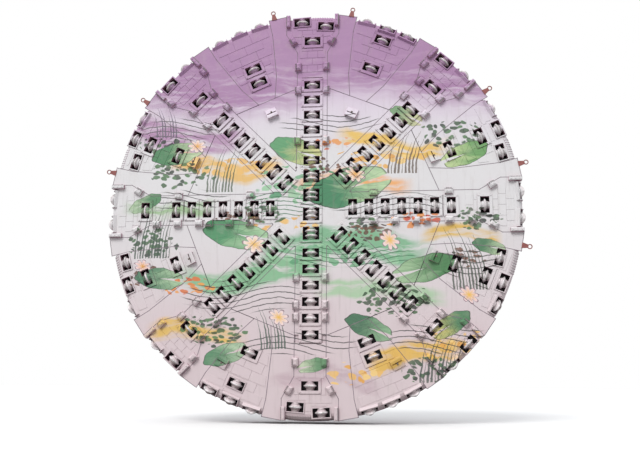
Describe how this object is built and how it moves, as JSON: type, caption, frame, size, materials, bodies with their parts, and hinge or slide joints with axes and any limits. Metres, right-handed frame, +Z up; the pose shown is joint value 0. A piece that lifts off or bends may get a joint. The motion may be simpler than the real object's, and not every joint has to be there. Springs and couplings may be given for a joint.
{
  "type": "tunnel boring machine cutterhead",
  "caption": "Round rotating cutting head with spokes, rolling disc cutters, scrapers and covered muck slots, carried on a large bearing ring that bolts to a tunnelling machine.",
  "frame": {"origin": "centre of the bolt circle on the rear mounting face of the fixed bearing ring", "axes": "+Y out of the mounting face towards the machine, so the cutting face looks along -Y; +Z up; +X to the right as the cutting face is seen"},
  "size_m": [16.1766, 4.08, 16.0804],
  "materials": {
    "face_paint": "decorated satin paint over welded plate",
    "board_paint": "decorated satin paint on thin boards",
    "head_paint": "plain satin paint over welded plate",
    "tool_paint": "paint over cast carrier blocks",
    "wear_steel": "paint over hard bars",
    "cutter_steel": "turned forged steel",
    "bearing_steel": "machined, lightly oiled"
  },
  "bodies": {
    "bearing_ring": {"fixed_bearing_ring": "bearing_steel"},
    "head": {"turning_bearing_ring": "bearing_steel", "head_flange": "head_paint", "support_legs": "head_paint", "centre_drum": "head_paint", "centre_body": "face_paint", "main_spokes": "face_paint", "auxiliary_spokes": "face_paint", "ring_beam": "head_paint", "rim_ring": "head_paint", "face_cutter_housings": "face_paint", "rim_cutter_housings": "face_paint", "wear_plates": "face_paint", "scrapers": "tool_paint", "gauge_scrapers": "tool_paint", "inner_slot_covers": "board_paint", "outer_slot_covers": "board_paint", "nozzle_guards": "tool_paint", "rim_bars": "wear_steel"},
    "centre_cutters_set": {"centre_cutters": "cutter_steel"},
    "cutter_row_0_set": {"cutter_row_0": "cutter_steel"},
    "cutter_row_45_set": {"cutter_row_45": "cutter_steel"},
    "cutter_row_90_set": {"cutter_row_90": "cutter_steel"},
    "cutter_row_135_set": {"cutter_row_135": "cutter_steel"},
    "auxiliary_cutter_row_22_set": {"auxiliary_cutter_row_22": "cutter_steel"},
    "auxiliary_cutter_row_67_set": {"auxiliary_cutter_row_67": "cutter_steel"},
    "auxiliary_cutter_row_112_set": {"auxiliary_cutter_row_112": "cutter_steel"},
    "auxiliary_cutter_row_157_set": {"auxiliary_cutter_row_157": "cutter_steel"},
    "rim_cutters_0_set": {"rim_cutters_0": "cutter_steel"},
    "rim_cutters_1_set": {"rim_cutters_1": "cutter_steel"},
    "rim_cutters_2_set": {"rim_cutters_2": "cutter_steel"},
    "rim_cutters_3_set": {"rim_cutters_3": "cutter_steel"},
    "rim_cutters_4_set": {"rim_cutters_4": "cutter_steel"},
    "rim_cutters_5_set": {"rim_cutters_5": "cutter_steel"},
    "gauge_cutter_0_disc": {"gauge_cutter_0": "cutter_steel"},
    "gauge_cutter_1_disc": {"gauge_cutter_1": "cutter_steel"},
    "gauge_cutter_2_disc": {"gauge_cutter_2": "cutter_steel"},
    "gauge_cutter_3_disc": {"gauge_cutter_3": "cutter_steel"},
    "gauge_cutter_4_disc": {"gauge_cutter_4": "cutter_steel"},
    "gauge_cutter_5_disc": {"gauge_cutter_5": "cutter_steel"},
    "gauge_cutter_6_disc": {"gauge_cutter_6": "cutter_steel"},
    "gauge_cutter_7_disc": {"gauge_cutter_7": "cutter_steel"},
    "gauge_cutter_8_disc": {"gauge_cutter_8": "cutter_steel"},
    "gauge_cutter_9_disc": {"gauge_cutter_9": "cutter_steel"},
    "gauge_cutter_10_disc": {"gauge_cutter_10": "cutter_steel"},
    "gauge_cutter_11_disc": {"gauge_cutter_11": "cutter_steel"},
    "gauge_cutter_12_disc": {"gauge_cutter_12": "cutter_steel"},
    "gauge_cutter_13_disc": {"gauge_cutter_13": "cutter_steel"},
    "gauge_cutter_14_disc": {"gauge_cutter_14": "cutter_steel"},
    "gauge_cutter_15_disc": {"gauge_cutter_15": "cutter_steel"},
    "gauge_cutter_16_disc": {"gauge_cutter_16": "cutter_steel"},
    "gauge_cutter_17_disc": {"gauge_cutter_17": "cutter_steel"},
    "gauge_cutter_18_disc": {"gauge_cutter_18": "cutter_steel"},
    "gauge_cutter_19_disc": {"gauge_cutter_19": "cutter_steel"},
    "gauge_cutter_20_disc": {"gauge_cutter_20": "cutter_steel"},
    "gauge_cutter_21_disc": {"gauge_cutter_21": "cutter_steel"},
    "gauge_cutter_22_disc": {"gauge_cutter_22": "cutter_steel"},
    "gauge_cutter_23_disc": {"gauge_cutter_23": "cutter_steel"}
  },
  "joints": [
    {"name": "head_spin", "type": "hinge", "parent": "bearing_ring", "child": "head", "pos_m": [0, 0, 0], "axis": [0, -1, 0], "continuous": true},
    {"name": "centre_cutters_roll", "type": "hinge", "parent": "head", "child": "centre_cutters_set", "pos_m": [0, -3.809, 0], "axis": [0, 0, 1], "continuous": true},
    {"name": "cutter_row_0_roll", "type": "hinge", "parent": "head", "child": "cutter_row_0_set", "pos_m": [0, -3.809, 0], "axis": [1, 0, 0], "continuous": true},
    {"name": "cutter_row_45_roll", "type": "hinge", "parent": "head", "child": "cutter_row_45_set", "pos_m": [0, -3.809, 0], "axis": [0.7071, 0, 0.7071], "continuous": true},
    {"name": "cutter_row_90_roll", "type": "hinge", "parent": "head", "child": "cutter_row_90_set", "pos_m": [0, -3.809, 0], "axis": [0, 0, 1], "continuous": true},
    {"name": "cutter_row_135_roll", "type": "hinge", "parent": "head", "child": "cutter_row_135_set", "pos_m": [0, -3.809, 0], "axis": [-0.7071, 0, 0.7071], "continuous": true},
    {"name": "auxiliary_cutter_row_22_roll", "type": "hinge", "parent": "head", "child": "auxiliary_cutter_row_22_set", "pos_m": [0, -3.809, 0], "axis": [0.9239, 0, 0.3827], "continuous": true},
    {"name": "auxiliary_cutter_row_67_roll", "type": "hinge", "parent": "head", "child": "auxiliary_cutter_row_67_set", "pos_m": [0, -3.809, 0], "axis": [0.3827, 0, 0.9239], "continuous": true},
    {"name": "auxiliary_cutter_row_112_roll", "type": "hinge", "parent": "head", "child": "auxiliary_cutter_row_112_set", "pos_m": [0, -3.809, 0], "axis": [-0.3827, 0, 0.9239], "continuous": true},
    {"name": "auxiliary_cutter_row_157_roll", "type": "hinge", "parent": "head", "child": "auxiliary_cutter_row_157_set", "pos_m": [0, -3.809, 0], "axis": [-0.9239, 0, 0.3827], "continuous": true},
    {"name": "rim_cutters_0_roll", "type": "hinge", "parent": "head", "child": "rim_cutters_0_set", "pos_m": [0, -3.809, 0], "axis": [0.6665, 0, 0.7455], "continuous": true},
    {"name": "rim_cutters_1_roll", "type": "hinge", "parent": "head", "child": "rim_cutters_1_set", "pos_m": [0, -3.809, 0], "axis": [-0.7455, 0, 0.6665], "continuous": true},
    {"name": "rim_cutters_2_roll", "type": "hinge", "parent": "head", "child": "rim_cutters_2_set", "pos_m": [0, -3.809, 0], "axis": [-0.0558, 0, 0.9984], "continuous": true},
    {"name": "rim_cutters_3_roll", "type": "hinge", "parent": "head", "child": "rim_cutters_3_set", "pos_m": [0, -3.809, 0], "axis": [0.0715, 0, 0.9974], "continuous": true},
    {"name": "rim_cutters_4_roll", "type": "hinge", "parent": "head", "child": "rim_cutters_4_set", "pos_m": [0, -3.809, 0], "axis": [0.9627, 0, 0.2706], "continuous": true},
    {"name": "rim_cutters_5_roll", "type": "hinge", "parent": "head", "child": "rim_cutters_5_set", "pos_m": [0, -3.809, 0], "axis": [-0.9617, 0, 0.274], "continuous": true},
    {"name": "gauge_cutter_0_roll", "type": "hinge", "parent": "head", "child": "gauge_cutter_0_disc", "pos_m": [7.87893, -3.73434, -0.50951], "axis": [0.6414, 0.766, -0.0415], "continuous": true},
    {"name": "gauge_cutter_1_roll", "type": "hinge", "parent": "head", "child": "gauge_cutter_1_disc", "pos_m": [7.87893, -3.73434, 0.50951], "axis": [0.6414, 0.766, 0.0415], "continuous": true},
    {"name": "gauge_cutter_2_roll", "type": "hinge", "parent": "head", "child": "gauge_cutter_2_disc", "pos_m": [-7.87893, -3.73434, 0.50951], "axis": [-0.6414, 0.766, 0.0415], "continuous": true},
    {"name": "gauge_cutter_3_roll", "type": "hinge", "parent": "head", "child": "gauge_cutter_3_disc", "pos_m": [-7.87893, -3.73434, -0.50951], "axis": [-0.6414, 0.766, -0.0415], "continuous": true},
    {"name": "gauge_cutter_4_roll", "type": "hinge", "parent": "head", "child": "gauge_cutter_4_disc", "pos_m": [5.93152, -3.73434, 5.21097], "axis": [0.4829, 0.766, 0.4242], "continuous": true},
    {"name": "gauge_cutter_5_roll", "type": "hinge", "parent": "head", "child": "gauge_cutter_5_disc", "pos_m": [-5.21097, -3.73434, 5.93152], "axis": [-0.4242, 0.766, 0.4829], "continuous": true},
    {"name": "gauge_cutter_6_roll", "type": "hinge", "parent": "head", "child": "gauge_cutter_6_disc", "pos_m": [-5.93152, -3.73434, -5.21097], "axis": [-0.4829, 0.766, -0.4242], "continuous": true},
    {"name": "gauge_cutter_7_roll", "type": "hinge", "parent": "head", "child": "gauge_cutter_7_disc", "pos_m": [5.21097, -3.73434, -5.93152], "axis": [0.4242, 0.766, -0.4829], "continuous": true},
    {"name": "gauge_cutter_8_roll", "type": "hinge", "parent": "head", "child": "gauge_cutter_8_disc", "pos_m": [6.91213, -3.73434, 3.8157], "axis": [0.5627, 0.766, 0.3106], "continuous": true},
    {"name": "gauge_cutter_9_roll", "type": "hinge", "parent": "head", "child": "gauge_cutter_9_disc", "pos_m": [-6.91213, -3.73434, -3.8157], "axis": [-0.5627, 0.766, -0.3106], "continuous": true},
    {"name": "gauge_cutter_10_roll", "type": "hinge", "parent": "head", "child": "gauge_cutter_10_disc", "pos_m": [-6.86345, -3.781, 3.78883], "axis": [-0.7582, 0.5, 0.4185], "continuous": true},
    {"name": "gauge_cutter_11_roll", "type": "hinge", "parent": "head", "child": "gauge_cutter_11_disc", "pos_m": [6.86345, -3.781, -3.78883], "axis": [0.7582, 0.5, -0.4185], "continuous": true},
    {"name": "gauge_cutter_12_roll", "type": "hinge", "parent": "head", "child": "gauge_cutter_12_disc", "pos_m": [3.78883, -3.781, 6.86345], "axis": [0.4185, 0.5, 0.7582], "continuous": true},
    {"name": "gauge_cutter_13_roll", "type": "hinge", "parent": "head", "child": "gauge_cutter_13_disc", "pos_m": [3.00015, -3.781, 7.24301], "axis": [0.3314, 0.5, 0.8001], "continuous": true},
    {"name": "gauge_cutter_14_roll", "type": "hinge", "parent": "head", "child": "gauge_cutter_14_disc", "pos_m": [2.18951, -3.73434, 7.58572], "axis": [0.1783, 0.766, 0.6176], "continuous": true},
    {"name": "gauge_cutter_15_roll", "type": "hinge", "parent": "head", "child": "gauge_cutter_15_disc", "pos_m": [-3.78883, -3.781, -6.86345], "axis": [-0.4185, 0.5, -0.7582], "continuous": true},
    {"name": "gauge_cutter_16_roll", "type": "hinge", "parent": "head", "child": "gauge_cutter_16_disc", "pos_m": [-3.00015, -3.781, -7.24301], "axis": [-0.3314, 0.5, -0.8001], "continuous": true},
    {"name": "gauge_cutter_17_roll", "type": "hinge", "parent": "head", "child": "gauge_cutter_17_disc", "pos_m": [-2.18951, -3.73434, -7.58572], "axis": [-0.1783, 0.766, -0.6176], "continuous": true},
    {"name": "gauge_cutter_18_roll", "type": "hinge", "parent": "head", "child": "gauge_cutter_18_disc", "pos_m": [-2.18951, -3.73434, 7.58572], "axis": [-0.1783, 0.766, 0.6176], "continuous": true},
    {"name": "gauge_cutter_19_roll", "type": "hinge", "parent": "head", "child": "gauge_cutter_19_disc", "pos_m": [-3.02143, -3.73434, 7.29438], "axis": [-0.246, 0.766, 0.5939], "continuous": true},
    {"name": "gauge_cutter_20_roll", "type": "hinge", "parent": "head", "child": "gauge_cutter_20_disc", "pos_m": [-3.8157, -3.73434, 6.91213], "axis": [-0.3106, 0.766, 0.5627], "continuous": true},
    {"name": "gauge_cutter_21_roll", "type": "hinge", "parent": "head", "child": "gauge_cutter_21_disc", "pos_m": [2.18951, -3.73434, -7.58572], "axis": [0.1783, 0.766, -0.6176], "continuous": true},
    {"name": "gauge_cutter_22_roll", "type": "hinge", "parent": "head", "child": "gauge_cutter_22_disc", "pos_m": [3.02143, -3.73434, -7.29438], "axis": [0.246, 0.766, -0.5939], "continuous": true},
    {"name": "gauge_cutter_23_roll", "type": "hinge", "parent": "head", "child": "gauge_cutter_23_disc", "pos_m": [3.8157, -3.73434, -6.91213], "axis": [0.3106, 0.766, -0.5627], "continuous": true}
  ]
}
